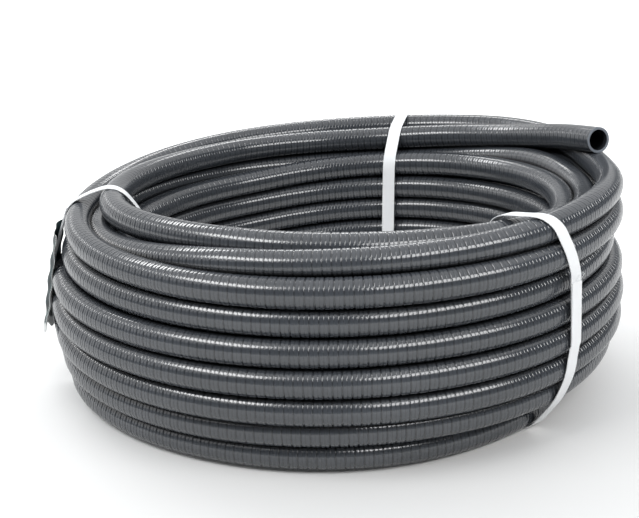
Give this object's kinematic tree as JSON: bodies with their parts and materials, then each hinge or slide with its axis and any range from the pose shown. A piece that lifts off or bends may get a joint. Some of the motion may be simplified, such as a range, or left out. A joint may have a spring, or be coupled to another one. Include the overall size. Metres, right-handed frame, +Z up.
{
  "type": "corrugated conduit coil",
  "caption": "Strapped coil of grey corrugated plastic conduit with a free open end on top, for feeding cables through walls and floors",
  "frame": {"origin": "on the coil's axis, on the floor that it lies on", "axes": "+Z up along the coil's axis, +X to the side where the free end lies, -Y to the front"},
  "size_m": [0.5567, 0.545, 0.2186],
  "materials": {
    "conduit_plastic": "dark neutral grey flexible plastic, satin, with fine ribs that catch the light",
    "strap_webbing": "white bonded polyester strap, matt, with fine lengthwise threads",
    "label_film": "dark printed film with a pale margin, unprinted here"
  },
  "bodies": {
    "root": {"conduit_coil": "conduit_plastic", "conduit_free_turn": "conduit_plastic", "strap_back": "strap_webbing", "strap_left": "strap_webbing", "strap_right": "strap_webbing", "label": "label_film"}
  },
  "joints": []
}
